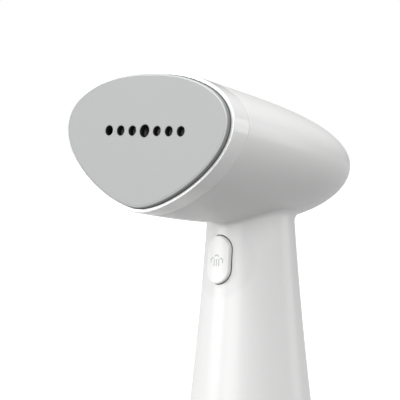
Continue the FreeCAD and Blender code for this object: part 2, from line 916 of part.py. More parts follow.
def make_housing():
    hole = button_hole(button_gap, 0)
    body = round_button_hole(housing_outside().cut(hole))
    handle_inner = handle_solid(shell_wall, housing_foot - past, handle_top - shell_wall)
    body = body.cut(headed(head_inner).fuse(handle_inner))
    collar = button_hole(button_gap + collar_wall, collar_back).cut(hole)
    body = body.fuse(collar.common(handle_solid(boss_sink, housing_foot, handle_top)))
    for x, z in carrier_screw_places:
        body = body.fuse(headed(wall_boss(x, z)))
    for x, y in dock_boss_places:
        body = body.fuse(dock_post(x, y))
    gland_hole = (0, handle_radius - shell_wall, gland_z)
    return body.cut(cyl(gland_shank + slip, handle_r(gland_z), gland_hole, backwards))


keep("main_housing", make_housing())


# ---- steam button, its springs and the microswitch ----
def make_button():
    cap = button_hole(0, flange_y).common(handle_solid(-button_proud, housing_foot, handle_top))
    front = button_proud - handle_radius
    cap = cap.makeFillet(button_round, [e for e in edges_between(cap, -far, front) if e.BoundBox.YLength < 3])
    flange = pill(button_width + 2 * button_lip, button_height + 2 * button_lip,
                  flange_y, button_back, button_z)
    posts = [cyl(spring_post, spring_post_length, (0, button_back, z), backwards) for z in spring_places]
    return fuse_all([cap, flange] + posts)


def make_button_springs():
    length = chassis_front - button_back - seat_gap
    return group([coil_spring(spring_radius, spring_wire, length, spring_turns,
                              (0, button_back + seat_gap / 2, z), backwards) for z in spring_places])


def make_microswitch():
    body = block(-switch_half_width, switch_half_width, switch_front, chassis_front,
                 button_z - switch_half_height, button_z + switch_half_height)
    body = body.cut(cyl(switch_pin + run_fit, switch_pin_hole, (0, switch_front, button_z), backwards))
    for side in sides:
        peg_hole = (side * switch_peg_x, switch_front - past, button_z)
        body = body.cut(cyl(switch_peg, chassis_front - switch_front + 2 * past, peg_hole, backwards))
    return body


plunger_start = button_back + fit_gap
keep("steam_button", make_button())
keep("button_springs", make_button_springs())
keep("microswitch", make_microswitch())
keep("switch_plunger", cyl(switch_pin, switch_front + switch_pin_seat - plunger_start,
                           (0, plunger_start, button_z), backwards))


# ---- pump ----
def on_pump(radius, z0, z1):
    """A round bar on the pump's axis between two heights."""
    return cyl(radius, z1 - z0, (0, pump_y, z0), upwards)


def pump_ring(outer, inner, z0, z1):
    return on_pump(outer, z0, z1).cut(on_pump(inner, z0, z1))


def make_pump_body():
    body = on_pump(pump_radius, pump_foot, pump_top)
    body = body.fuse(on_pump(feed_barb, pump_foot - pump_stub, pump_foot))
    body = body.cut(on_pump(pump_bore, bore_foot, pump_top))
    return body.cut(on_pump(pump_port, pump_foot - pump_stub, bore_foot))


def make_check_valve():
    barb_foot = pump_top + valve_collar
    body = on_pump(pump_bore - run_fit, valve_foot, pump_top)
    body = body.fuse(on_pump(pump_radius, pump_top, barb_foot))
    body = body.fuse(on_pump(hose_barb, barb_foot, barb_foot + valve_barb_length))
    return body.cut(on_pump(valve_bore, valve_foot, barb_foot + valve_barb_length))


def make_coil():
    foot = bore_foot + yoke_thick + coil_gap
    top = bore_foot + yoke_height - yoke_thick - coil_gap
    recess = pump_ring(coil_radius + past, coil_radius - coil_recess, foot + coil_lip, top - coil_lip)
    return pump_ring(coil_radius, pump_radius + slip, foot, top).cut(recess)


def make_yoke():
    foot, top = bore_foot, bore_foot + yoke_height
    body = block(-yoke_half_width, yoke_half_width, pump_y - yoke_half, pump_y + yoke_half, foot, top)
    inner = yoke_half - yoke_thick
    body = body.cut(block(-far, far, pump_y - inner, pump_y + inner, foot + yoke_thick, top - yoke_thick))
    return body.cut(on_pump(pump_radius + slip, foot - past, top + past))


def make_pump_mounts():
    mounts = []
    for z in shelf_heights:
        low = z + (shelf_thick - grommet_height) / 2
        ring = pump_ring(grommet_radius, pump_radius, low, low + grommet_height)
        mounts.append(ring.cut(pump_ring(grommet_radius + past, grommet_neck, z, z + shelf_thick)))
    return group(mounts)


plunger = on_pump(pump_bore - run_fit, plunger_foot, plunger_top)
pump_spring = coil_spring(pump_spring_radius, pump_spring_wire, valve_foot - plunger_top - seat_gap,
                          pump_spring_turns, (0, pump_y, plunger_top + seat_gap / 2), upwards)
keep("pump_body", make_pump_body())
keep("pump_plunger", plunger.cut(on_pump(plunger_bore, plunger_foot, plunger_top)))
keep("pump_spring", pump_spring)
keep("check_valve", make_check_valve())
keep("pump_coil", make_coil())
keep("pump_yoke", make_yoke())
keep("pump_mounts", make_pump_mounts())

# ---- chassis ----
board_screw_places = [(side * board_screw_x, z) for side in sides
                      for z in (board_foot + board_screw_inset, board_top - board_screw_inset)]


def pump_shelf(z):
    arm = block(-shelf_radius, shelf_radius, chassis_back, pump_y, z, z + shelf_thick)
    shelf = arm.fuse(on_pump(shelf_radius, z, z + shelf_thick))
    return shelf.cut(on_pump(grommet_neck + run_fit, z, z + shelf_thick))


def chassis_foot(x):
    foot = block(x - chassis_foot_half, x + chassis_foot_half, chassis_front,
                 chassis_foot_y + chassis_foot_half, dock_top, dock_top + chassis_foot_height)
    return foot.common(handle_solid(shell_wall + chassis_side_gap, dock_top, handle_top))


def make_chassis():
    plate = block(-far / 2, far / 2, chassis_front, chassis_back, dock_top, chassis_top)
    pieces = [plate.common(handle_solid(shell_wall + chassis_side_gap, dock_top, handle_top))]
    pieces += [pump_shelf(z) for z in shelf_heights]
    pieces += [cyl(board_post, board_stand, (x, board_back, z), backwards) for x, z in board_screw_places]
    pieces += [chassis_foot(side * chassis_foot_x) for side in sides]
    spring_seat = chassis_front - board_thick
    peg_tip = chassis_front - switch_peg_length
    pieces += [cyl(spring_post, board_thick, (0, spring_seat, z), backwards) for z in spring_places]
    for side in sides:
        peg_base = (side * switch_peg_x, peg_tip, button_z)
        pieces.append(cyl(switch_peg - run_fit, switch_peg_length, peg_base, backwards))
    body = fuse_all(pieces)
    for x, z in board_screw_places:
        body = body.cut(cyl(small_screw_radius, board_screw_length, (x, board_back, z), backwards))
    for side in sides:
        hole = (side * chassis_foot_x, chassis_foot_y, dock_top)
        body = body.cut(cyl(screw_radius, chassis_screw_length, hole, upwards))
    return body


keep("chassis", make_chassis())


# ---- control board ----
def on_board(x, width, z0, z1, depth):
    """A box-shaped component on the board's front."""
    return block(x - width / 2, x + width / 2, board_front - depth, board_front, z0, z1)


def make_board():
    body = block(-board_half_width, board_half_width, board_front, board_back, board_foot, board_top)
    for x, z in board_screw_places:
        hole = (x, board_front - past, z)
        body = body.cut(cyl(small_screw_radius + slip, board_thick + 2 * past, hole, backwards))
    return body


def make_terminal():
    body = block(-terminal_half_width, terminal_half_width, chassis_front - terminal_depth, chassis_front,
                 terminal_foot, terminal_top)
    for step in (-1, 0, 1):
        hole = (step * terminal_pitch, chassis_front - terminal_depth, terminal_foot + terminal_hole_rise)
        body = body.cut(cyl(terminal_hole, terminal_hole_depth, hole, backwards))
    return body


relay_foot = board_foot + relay_rise
capacitor_base = (capacitor_x, board_front - capacitor_depth, board_foot + capacitor_rise)
triac_top = board_top - triac_inset
keep("control_board", make_board())
keep("board_screws", group([screw(small_screw_head, small_screw_head_height, small_screw_radius,
                                  board_screw_length, (x, board_front, z), backwards)
                            for x, z in board_screw_places]))
keep("relay", on_board(relay_x, relay_width, relay_foot, relay_foot + relay_height, relay_depth))
keep("capacitor", cyl(capacitor_radius, capacitor_depth, capacitor_base, backwards))
keep("triac", on_board(triac_x, triac_width, triac_top - triac_height, triac_top, triac_depth))
keep("terminal_block", make_terminal())

# ---- cord gland in the back of the handle ----
gland_tip = handle_r(gland_z) + gland_proud
nut_back = handle_r(gland_z) - shell_wall - nut_back_gap
nut_front = nut_back - nut_depth


def make_gland():
    flange = cyl(gland_flange, gland_flange_depth, (0, gland_tip - gland_flange_depth, gland_z), backwards)
    flange = flange.cut(handle_solid(0, housing_foot, handle_top))
    flange = round_edges_at(flange, gland_round, gland_tip, "Y")
    shank = cyl(gland_shank, gland_tip - gland_round - nut_front, (0, nut_front, gland_z), backwards)
    return flange.fuse(shank).cut(cyl(gland_bore, gland_tip, (0, nut_front - past, gland_z), backwards))


nut = tube(gland_shank + nut_wall, gland_shank + run_fit, nut_depth, (0, nut_front, gland_z), backwards)
keep("cord_gland", make_gland())
keep("gland_nut", nut)

# ---- dock plate with its spigot and port ----
seal_foot = spigot_foot + seal_rise
seal_inner = spigot_radius - seal_section
port_seal_top = port_foot + port_seal_height


def dock_tube(outer, inner, z0, z1):
    return tube(outer, inner, z1 - z0, (0, 0, z0), upwards)


chassis_foot_places = [(side * chassis_foot_x, chassis_foot_y) for side in sides]


def make_dock():
    plate_radius = min(handle_r(dock_top) - shell_wall, collar_radius) - slip
    body = fuse_all([
        cyl(plate_radius, dock_thick, (0, 0, dock_bottom), upwards),
        dock_tube(spigot_radius, spigot_radius - spigot_wall, spigot_foot, dock_bottom),
        on_pump(port_radius, port_foot, dock_bottom),
        on_pump(feed_barb, dock_top, dock_top + feed_barb_length),
    ])
    body = body.cut(dock_tube(spigot_radius + past, seal_inner, seal_foot, seal_foot + seal_height))
    body = body.cut(on_pump(port_seal_radius, port_foot, port_seal_top))
    body = body.cut(on_pump(nipple + nipple_gap, port_foot, dock_bottom))
    body = body.cut(on_pump(feed_bore, dock_bottom - past, dock_top + feed_barb_length + past))
    for x, y in dock_boss_places + chassis_foot_places:
        body = body.cut(cyl(screw_radius + slip, dock_thick + 2 * past, (x, y, dock_bottom - past), upwards))
    return body


def dock_screws(length, places):
    return group([screw(dock_screw_head, screw_head_height, screw_radius, length,
                        (x, y, dock_bottom), upwards) for x, y in places])


feed_foot = dock_top + seat_gap
keep("dock_plate", make_dock())
keep("dock_seal", dock_tube(collar_radius - run_fit, seal_inner, seal_foot, seal_foot + seal_height))
keep("port_seal", pump_ring(port_seal_radius, nipple + run_fit, port_foot, port_seal_top))
keep("feed_tube", pump_ring(feed_barb + feed_tube_wall, feed_barb, feed_foot, feed_foot + feed_tube_length))
keep("dock_screws", dock_screws(dock_screw_length, dock_boss_places))
keep("chassis_screws", dock_screws(chassis_screw_length, chassis_foot_places))

# ---- hose and heater leads ----
hose_way = HEAD.Rotation.multVec(Vector(*backwards))
nozzle_tip = HEAD.multVec(Vector(0, cover_back + nozzle_length, inlet_z))
hose_start = nozzle_tip - hose_way * hose_overlap
valve_tip = Vector(0, pump_y, pump_top + valve_collar + valve_barb_length)
hose_end = valve_tip - Vector(*upwards) * valve_barb_length + Vector(0, 0, dock_rise)


def make_hose():
    corner = hose_start + hose_way * ((pump_y - hose_start.y) / hose_way.y)
    half_bend = hose_way.getAngle(Vector(*upwards)) / 2
    bend = hose_bend_share * (corner.z - valve_tip.z) * math.tan(half_bend)
    path = round_path([hose_start, corner, hose_end], bend)
    return pipe(path, hose_radius).cut(pipe(path, hose_barb))


def make_hose_clips():
    clips = []
    for end, way in ((hose_start, hose_way), (hose_end, Vector(*upwards))):
        base = end + way * clip_inset
        ring = Part.makeCylinder(hose_radius + clip_wall, clip_width, base, way)
        clips.append(ring.cut(Part.makeCylinder(hose_radius, clip_width, base, way)))
    return group(clips)


def heater_lead(pin, side):
    """From an element pin, back and down in front of the chassis to the board's top edge."""
    start = HEAD.multVec(Vector(pin.x, pin_end, pin.z))
    turn = start + hose_way * lead_reach
    turn.x = side * lead_x
    down = Vector(side * lead_x, lead_y, turn.z - lead_fall)
    foot = Vector(side * lead_x, lead_y, board_top)
    path = round_path([start, start + hose_way * lead_straight, turn, down, foot], lead_bend)
    return pipe(path, lead_radius)


keep("water_hose", make_hose())
keep("hose_clips", make_hose_clips())
keep("heater_leads", group([heater_lead(pin, math.copysign(1, pin.x)) for pin in pin_places]))

# ---- water tank ----
filler_slope = (handle_lean + 2 * handle_sweep * (neck_z - filler_z) / neck_z) / neck_z
FILLER = Placement(Vector(0, handle_r(filler_z), filler_z),
                   Rotation(Vector(*across), math.degrees(math.atan(filler_slope))))
hinge_base = (0, hinge_out, -hinge_drop)
pin_half = barrel_half + fit_gap + ear_thick


def at_filler(shape):
    """A copy of a shape drawn in the filler's frame, in the object's frame."""
    out = shape.copy()
    out.Placement = FILLER.multiply(out.Placement)
    return out


def hinge_bar(radius, x0, x1):
    return cyl(radius, x1 - x0, (x0, hinge_out, -hinge_drop), across)


def hinge_ear(side):
    """One of the tank's two ears, with a web down into the wall."""
    x0, x1 = sorted((side * (barrel_half + fit_gap), side * pin_half))
    radius = barrel_radius + ear_wall
    web = block(x0, x1, -2 * tank_wall, hinge_out, -hinge_drop - radius, -hinge_drop + radius)
    return at_filler(hinge_bar(radius, x0, x1).fuse(web)).cut(handle_solid(tank_wall / 2, floor_top, ledge_z))


def make_tank():
    body = handle_solid(0, tank_foot, tank_height)
    body = round_edges_at(body, tank_round, tank_foot, "Z")
    body = round_edges_at(body, seam_round, tank_height, "Z")
    body = body.cut(round_edges_at(handle_solid(tank_wall, floor_top, ledge_z), tank_round, floor_top, "Z"))
    ledge_hole = (0, 0, ledge_z - past)
    body = body.cut(cyl(collar_radius - ledge_inset, lid_seat - ledge_z + 2 * past, ledge_hole, upwards))
    body = body.cut(cyl(collar_radius, tank_height, (0, 0, lid_seat), upwards))
    body = body.cut(cyl(foot_radius, foot_recess, (0, 0, tank_foot), upwards))
    body = body.cut(at_filler(cyl(filler_radius, 2 * filler_depth, (0, -filler_depth, 0), backwards)))
    for side in sides:
        body = body.fuse(hinge_ear(side))
    return body.cut(at_filler(hinge_bar(hinge_pin, -pin_half - past, pin_half + past)))


def make_flap():
    disc = cyl(filler_radius + flap_lip, filler_depth, (0, flap_thick - filler_depth, 0), backwards)
    disc = at_filler(round_edges_at(disc, flap_round, flap_thick, "Y"))
    disc = disc.cut(handle_solid(-fit_gap, floor_top, tank_height))
    plug = at_filler(cyl(filler_radius - plug_gap, plug_length, (0, -plug_depth, 0), backwards))
    tab = block(-barrel_half, barrel_half, hinge_out - tab_back, hinge_out + tab_front,
                -hinge_drop, -filler_radius)
    barrel = hinge_bar(barrel_radius, -barrel_half, barrel_half)
    body = fuse_all([disc, plug, at_filler(tab.fuse(barrel))])
    return body.cut(at_filler(hinge_bar(hinge_pin + run_fit, -pin_half, pin_half)))


keep("water_tank", make_tank())
keep("filler_flap", make_flap())
keep("flap_pin", at_filler(hinge_bar(hinge_pin, -pin_half, pin_half)))


# ---- tank's foot, lid, strainer and dip tube ----
def make_foot_pad():
    pad = cyl(foot_radius - slip, foot_thick, (0, 0, 0), upwards)
    return pad.makeChamfer(foot_chamfer, edges_between(pad, -0.01, 0.01, "Z"))


groove_radius = collar_radius - lid_groove
seal_groove_foot = lid_seat + lid_seal_rise
seal_groove_top = seal_groove_foot + lid_seal_height


def make_lid():
    spout_foot = lid_seat - lid_spout_length
    nipple_top = port_foot + nipple_reach
    lid = cyl(collar_radius - slip, lid_thick, (0, 0, lid_seat), upwards)
    lid = lid.cut(dock_tube(collar_radius + past, groove_radius, seal_groove_foot, seal_groove_top))
    lid = lid.fuse(on_pump(nipple, lid_top, nipple_top)).fuse(on_pump(lid_spout, spout_foot, lid_seat))
    return lid.cut(on_pump(lid_bore, spout_foot, nipple_top))


def make_strainer():
    body = on_pump(strainer_radius, strainer_foot, strainer_top)
    body = body.fuse(on_pump(lid_spout, strainer_top, strainer_top + strainer_stub))
    body = body.cut(on_pump(strainer_bore, strainer_foot + strainer_floor, strainer_top + strainer_stub))
    for turn in (0, 60, 120):
        slit = block(-far / 2, far / 2, -slit_half, slit_half, strainer_foot + strainer_floor,
                     strainer_top - strainer_floor)
        slit.Placement = Placement(Vector(0, pump_y, 0), Rotation(Vector(*upwards), turn))
        body = body.cut(slit)
    return body


keep("foot_pad", make_foot_pad())
keep("tank_lid", make_lid())
keep("lid_seal", dock_tube(collar_radius, groove_radius, seal_groove_foot, seal_groove_top))
keep("strainer", make_strainer())
dip_tube = pump_ring(lid_spout + dip_tube_wall, lid_spout, strainer_top + seat_gap, lid_seat - dip_tube_gap)
keep("dip_tube", dip_tube)

# ---- write the pieces ----
for name, shape in nodes.items():
    solids = shape.Solids
    out = solids[0] if len(solids) == 1 else group(solids)
    out.exportStep(os.path.join("parts", name + ".step"))
    print(name, len(solids), round(sum(s.Volume for s in solids), 1), out.isValid())
hinge = FILLER.multVec(Vector(*hinge_base))
print("flap's hinge at", hinge.x, round(hinge.y, 4), round(hinge.z, 4))
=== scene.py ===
import math
import bpy
import numpy as np
from mathutils import Matrix, Vector


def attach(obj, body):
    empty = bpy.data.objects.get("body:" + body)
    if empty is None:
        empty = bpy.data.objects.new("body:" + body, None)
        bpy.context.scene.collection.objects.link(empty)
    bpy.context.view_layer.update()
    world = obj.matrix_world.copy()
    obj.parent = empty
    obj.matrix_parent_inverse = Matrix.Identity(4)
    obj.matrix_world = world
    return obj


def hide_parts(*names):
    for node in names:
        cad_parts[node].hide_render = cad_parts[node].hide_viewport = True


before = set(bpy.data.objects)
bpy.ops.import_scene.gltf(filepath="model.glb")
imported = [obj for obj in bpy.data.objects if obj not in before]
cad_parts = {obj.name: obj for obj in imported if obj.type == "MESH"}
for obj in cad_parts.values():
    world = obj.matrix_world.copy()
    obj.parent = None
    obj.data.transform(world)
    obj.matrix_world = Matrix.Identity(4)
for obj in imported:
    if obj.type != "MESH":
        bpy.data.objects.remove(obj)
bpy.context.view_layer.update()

print("frame loaded:", len(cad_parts), "pieces of the construction")
mm = 0.001


# shader expressions
class Wire:
    # a shader socket that takes part in Python expressions; each operator adds a Math node
    def __init__(self, finish, socket):
        self.finish = finish
        self.socket = socket

    def maths(self, operation, *values):
        return self.finish.node("ShaderNodeMath", {"operation": operation}, dict(enumerate(values)))

    def __add__(self, other):
        return self.maths("ADD", self, other)

    def __radd__(self, other):
        return self.maths("ADD", other, self)

    def __sub__(self, other):
        return self.maths("SUBTRACT", self, other)

    def __rsub__(self, other):
        return self.maths("SUBTRACT", other, self)

    def __mul__(self, other):
        return self.maths("MULTIPLY", self, other)

    def __rmul__(self, other):
        return self.maths("MULTIPLY", other, self)

    def __truediv__(self, other):
        return self.maths("DIVIDE", self, other)


class Finish:
    # the node tree of one material, or of the world, and the ways to fill it
    def __init__(self, owner):
        self.owner = owner
        owner.use_nodes = True
        self.tree = owner.node_tree
        self.tree.nodes.clear()

    def node(self, kind, settings=None, inputs=None, out=0):
        # settings go in first, then numbers or wires into the sockets; out picks the socket that comes back
        made = self.tree.nodes.new(kind)
        for key, value in (settings or {}).items():
            setattr(made, key, value)
        for key, value in (inputs or {}).items():
            if isinstance(value, Wire):
                self.tree.links.new(value.socket, made.inputs[key])
            else:
                made.inputs[key].default_value = value
        return Wire(self, made.outputs[out]) if len(made.outputs) else None

    def place(self, scale=(1, 1, 1)):
        # the point's place in the piece's own coordinates
        spot = self.node("ShaderNodeTexCoord", out="Object")
        return self.node("ShaderNodeMapping", {}, {"Vector": spot, "Scale": scale})

    def noise(self, where, size, detail=3.0, rough=0.5):
        # noise whose blotches are about size metres across
        return self.node("ShaderNodeTexNoise", {},
                         {"Vector": where, "Scale": 1 / size, "Detail": detail, "Roughness": rough})

    def blend(self, share, low, high):
        # one colour fading into another; each is three numbers or a wire
        low, high = (c if isinstance(c, Wire) else (*c, 1) for c in (low, high))
        return self.node("ShaderNodeMix", {"data_type": "RGBA"}, {0: share, 6: low, 7: high}, out=2)

    def ease(self, value, start, end):
        # nought before start, one after end, a smooth step between them
        return self.node("ShaderNodeMapRange", {"interpolation_type": "SMOOTHSTEP"},
                         {"Value": value, "From Min": start, "From Max": end})

    def vector(self, operation, first, second=(0, 0, 0)):
        # a Vector Math node that gives a number: a length, a distance or a dot product
        return self.node("ShaderNodeVectorMath", {"operation": operation}, {0: first, 1: second}, out=1)

    def larger(self, first, second):
        # the larger of two numbers, point by point
        return self.node("ShaderNodeMath", {"operation": "MAXIMUM"}, {0: first, 1: second})

    def ray(self, kind):
        # one where the ray is of a kind, such as Is Camera Ray, and nought elsewhere
        return self.node("ShaderNodeLightPath", out=kind)

    def bump(self, height, depth):
        # a height from nought to one, as a bump depth metres deep
        return self.node("ShaderNodeBump", {}, {"Height": height, "Distance": depth, "Strength": 1.0})

    def shade(self, **sockets):
        # ends a material in a Principled shader; a socket's name has _ where Blender has a space
        names = {key.replace("_", " "): value for key, value in sockets.items()}
        shader = self.node("ShaderNodeBsdfPrincipled", {}, names)
        self.node("ShaderNodeOutputMaterial", {}, {"Surface": shader})
        return self.owner


def finishNamed(name):
    # a new material, ready to be filled
    return Finish(bpy.data.materials.new(name))


def tint(colour, share):
    # a colour lightened (share over 1) or darkened, kept in range
    return tuple(min(1.0, max(0.0, c * share)) for c in colour)


def plastic(name, colour, rough=0.4, grain=0.35 * mm, depth=0.004 * mm, cloud=0.02, specular=0.5,
            coat=0.0, gapShade=None):
    # moulded plastic: fine tool texture, faint flow clouds in the colour, roughness that wanders a little;
    # its last argument names the depths, in millimetres, over which painted shade darkens the walls round the
    # button
    f = finishNamed(name)
    spot = f.place()
    flow = f.noise(spot, 28 * mm, 2.0)
    fine = f.noise(spot, grain, 4.0, 0.6)
    base = f.blend(flow, tint(colour, 1 - cloud), tint(colour, 1 + cloud))
    roughness = rough + 0.10 * rough * (flow - 0.5) + 0.12 * rough * (fine - 0.5)
    if gapShade:
        # painted shade: near the button, the walls below the handle's skin darken with their depth
        paintedGapShade = f.ease(underSkin(f, spot), gapShade[0] * mm, gapShade[1] * mm) * nearButton(f, spot)
        base = f.blend(paintedGapShade, base, buttonGapShade["dark"])
    return f.shade(Base_Color=base, Roughness=roughness, Normal=f.bump(fine, depth),
                   Specular_IOR_Level=specular, Coat_Weight=coat, Coat_Roughness=0.06)


# painted shade in the gap round the button: the middle's place in front, where the painted shade ends, and
# its colour
buttonGapShade = {"front": 25.0, "fullWithin": 18.0, "noneBeyond": 22.0, "dark": (0.035, 0.037, 0.035)}


def underSkin(f, spot):
    # depth of a point below the handle's skin: the skin's radius at its height less its own radius
    level = f.node("ShaderNodeVectorMath", {"operation": "MULTIPLY"}, {0: spot, 1: (1, 1, 0)})
    own = f.vector("LENGTH", level)
    height = f.node("ShaderNodeSeparateXYZ", {}, {"Vector": spot}, out=2)
    down = (grip["neck"] * mm - height) / (grip["neck"] * mm)
    return (grip["radius"] + grip["lean"] * down + grip["sweep"] * down * down) * mm - own


def nearButton(f, spot):
    # one close to the button's middle, nought further off, by the distance from it
    away = f.vector("DISTANCE", spot, (0, -buttonGapShade["front"] * mm, housing["buttonZ"] * mm))
    return 1 - f.ease(away, buttonGapShade["fullWithin"] * mm, buttonGapShade["noneBeyond"] * mm)


def metal(name, colour, rough=0.35, grain=0.6 * mm, depth=0.01 * mm, stretch=(1, 1, 1), cloud=0.12,
          metallic=1.0):
    # metal: cast grain or brushed lines, depending on how far the noise is stretched
    f = finishNamed(name)
    spot = f.place(stretch)
    lines = f.noise(spot, grain, 5.0, 0.6)
    stain = f.noise(f.place(), 9 * mm, 3.0)
    base = f.blend(stain, tint(colour, 1 - cloud), tint(colour, 1 + cloud))
    roughness = rough + 0.3 * rough * (lines - 0.5) + 0.3 * rough * (stain - 0.5)
    return f.shade(Base_Color=base, Roughness=roughness, Metallic=metallic, Normal=f.bump(lines, depth))


def rubber(name, colour, rough=0.65, grain=0.25 * mm, depth=0.012 * mm):
    # rubber: matt with a dusty, slightly paler bloom
    f = finishNamed(name)
    spot = f.place()
    fine = f.noise(spot, grain, 4.0, 0.65)
    bloom = f.noise(spot, 7 * mm, 3.0)
    base = f.blend(bloom, tint(colour, 0.9), tuple(min(1, c * 1.1 + 0.01) for c in colour))
    return f.shade(Base_Color=base, Roughness=rough + 0.15 * (bloom - 0.5), Normal=f.bump(fine, depth))


def windings(name, colour, pitch):
    # wound wire: sine ridges, one to each turn, up the coil; painted shade darkens the grooves between turns
    f = finishNamed(name)
    spot = f.place()
    ridge = f.node("ShaderNodeTexWave", {"bands_direction": "Z", "wave_profile": "SIN"},
                   {"Vector": spot, "Scale": math.pi / (10 * pitch), "Distortion": 0.4, "Detail": 1.0})
    # painted shade: the grooves between turns are darker than the crowns
    base = f.blend(ridge, tint(colour, 0.45), colour)
    return f.shade(Base_Color=base, Roughness=0.3 + 0.2 * ridge, Metallic=0.85,
                   Normal=f.bump(ridge, 0.25 * pitch))


def clearPlastic(name, colour, rough=0.08):
    # clear moulded plastic: a trace of frosting that comes and goes
    f = finishNamed(name)
    spot = f.place()
    haze = f.noise(spot, 16 * mm, 3.0)
    fine = f.noise(spot, 1.2 * mm, 3.0)
    base = f.blend(haze, tint(colour, 0.97), colour)
    return f.shade(Base_Color=base, Roughness=rough + 0.06 * haze, Normal=f.bump(fine, 0.004 * mm),
                   Transmission_Weight=0.92, IOR=1.49)


def dress(material, *nodeNames):
    # gives a carried-over piece of the construction its finish
    for nodeName in nodeNames:
        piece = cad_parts[nodeName]
        piece.data.materials.clear()
        piece.data.materials.append(material)


# mesh building
def meshFrom(name, vertices, quads, material, triangles=np.zeros((0, 3), dtype=int)):
    # a smooth-shaded object at the origin, with its place in its mesh
    mesh = bpy.data.meshes.new(name)
    mesh.from_pydata(vertices.tolist(), [], quads.tolist() + triangles.tolist())
    mesh.update()
    mesh.polygons.foreach_set("use_smooth", np.ones(len(mesh.polygons), dtype=bool))
    mesh.materials.append(material)
    piece = bpy.data.objects.new(name, mesh)
    bpy.context.scene.collection.objects.link(piece)
    return piece


def gridQuads(ids, wrapColumns=True, flip=False):
    # quads between neighbouring rows and columns of an array of vertex numbers
    if wrapColumns:
        ids = np.hstack([ids, ids[:, :1]])
    quads = np.stack([ids[:-1, :-1], ids[:-1, 1:], ids[1:, 1:], ids[1:, :-1]], axis=-1).reshape(-1, 4)
    return quads[:, ::-1] if flip else quads


class Net:
    # gathers points and faces from several grids that share rows of vertices
    def __init__(self):
        self.points, self.quads, self.triangles, self.count = [], [], [], 0

    def add(self, points):
        # takes in a grid of points and gives back their numbers, in the same grid
        flat = points.reshape(-1, 3)
        ids = np.arange(self.count, self.count + len(flat)).reshape(points.shape[:-1])
        self.points.append(flat)
        self.count += len(flat)
        return ids

    def skin(self, ids, wrapColumns=True, flip=False, keep=None):
        # takes in the quads of a grid of vertex numbers, or only those that keep marks
        quads = gridQuads(ids, wrapColumns, flip)
        self.quads.append(quads if keep is None else quads[keep.reshape(-1)])

    def fan(self, tip, ring, flip=False):
        # triangles from a ring to one point, which closes a pole
        pairs = np.stack([ring, np.roll(ring, -1), np.full_like(ring, tip)], axis=-1)
        self.triangles.append(pairs[:, ::-1] if flip else pairs)

    def piece(self, name, material):
        # only the points that a face uses go into the mesh
        quads = np.concatenate(self.quads)
        triangles = np.concatenate(self.triangles) if self.triangles else np.zeros((0, 3), dtype=int)
        corners = np.concatenate([quads.ravel(), triangles.ravel()])
        used, renumbered = np.unique(corners, return_inverse=True)
        points = np.concatenate(self.points)[used]
        return meshFrom(name, points, renumbered[:quads.size].reshape(-1, 4), material,
                        renumbered[quads.size:].reshape(-1, 3))


# the head and handle as formulas, in millimetres and degrees
# outline: how much of each multiple of the angle bends an ellipse into the plate's rounded triangle
outline = {
    "acrossThird": 0.1691, "acrossFifth": 0.0045, "upSecond": 0.106, "upThird": 0.0927, "upFourth": 0.0164,
}
head = {
    "halfWidth": 55.0, "halfHeight": 37.1, "proud": 2.7, "centreHeight": 218.0, "reach": 79.3, "tilt": 9.4,
    "length": 145.0, "rimGrow": 2.2, "bezelDepth": 11.4, "wall": 2.4,
    "sideTaper": 0.24, "sidePower": 1.41, "topTaper": 0.16, "topPower": 1.06,
    "nosePower": 3.5, "fadePower": 6, "drop": -4.12, "rise": 5.41,
}
grip = {"radius": 23.0, "neck": 168.3, "lean": 11.9, "sweep": 7.36, "foot": 76.4}


def toObject(x, y, z):
    # head frame (x across, y back, z up the plate, millimetres) to the object's frame in metres
    t = math.radians(head["tilt"])
    back = y * math.cos(t) + z * math.sin(t) - head["reach"]
    up = z * math.cos(t) - y * math.sin(t) + head["centreHeight"]
    return np.stack([x, back, up], axis=-1) * mm


def section(t, fade=1.0):
    # the outline at half-sizes of one: sums of cosines and sines of the angle and its multiples,
    # where a fade of nought leaves a circle
    third, fifth = outline["acrossThird"] * fade, outline["acrossFifth"] * fade
    x = (1 - third - fifth) * np.cos(t) + third * np.cos(3 * t) + fifth * np.cos(5 * t)
    z = np.sin(t) + fade * (outline["upSecond"] * np.cos(2 * t) + outline["upThird"] * np.sin(3 * t)
                            + outline["upFourth"] * np.cos(4 * t))
    return x, z


def outlineAt(t, grow):
    # the plate's outline moved outwards by grow, along the normal that its derivatives give
    a, b = head["halfWidth"], head["halfHeight"]
    third, fifth = outline["acrossThird"], outline["acrossFifth"]
    x, z = section(t)
    dx = -a * ((1 - third - fifth) * np.sin(t) + 3 * third * np.sin(3 * t) + 5 * fifth * np.sin(5 * t))
    dz = b * (np.cos(t) - 2 * outline["upSecond"] * np.sin(2 * t) + 3 * outline["upThird"] * np.cos(3 * t)
              - 4 * outline["upFourth"] * np.sin(4 * t))
    size = np.hypot(dx, dz)
    return a * x + grow * dz / size, b * z - grow * dx / size


def headAt(t, u, inset=0.0):
    # the head's skin at an angle t and a share u of its length: the outline's shape fades to an ellipse,
    # both half-sizes taper, and a square root of one minus a power of u closes the nose
    end = np.sqrt(np.clip(1 - u ** head["nosePower"], 0, 1))
    sideLeft = 1 - head["sideTaper"] * u ** head["sidePower"]
    topLeft = 1 - head["topTaper"] * u ** head["topPower"]
    halfW = (head["halfWidth"] + head["rimGrow"] - inset) * sideLeft * end
    halfH = (head["halfHeight"] + head["rimGrow"] - inset) * topLeft * end
    across, up = section(t, 1 - u ** head["fadePower"])
    y = head["proud"] + (head["length"] - inset - head["proud"]) * u
    return halfW * across, y + 0 * across, head["drop"] * u + head["rise"] * u * u + halfH * up


def shareAt(y, inset=0.0):
    # the share of the head's length at a distance behind the plate's face
    return (y - head["proud"]) / (head["length"] - inset - head["proud"])


def gripRadius(z):
    # the handle's radius grows below the neck with the distance down and its square
    down = (grip["neck"] - z) / grip["neck"]
    return grip["radius"] + grip["lean"] * down + grip["sweep"] * down * down


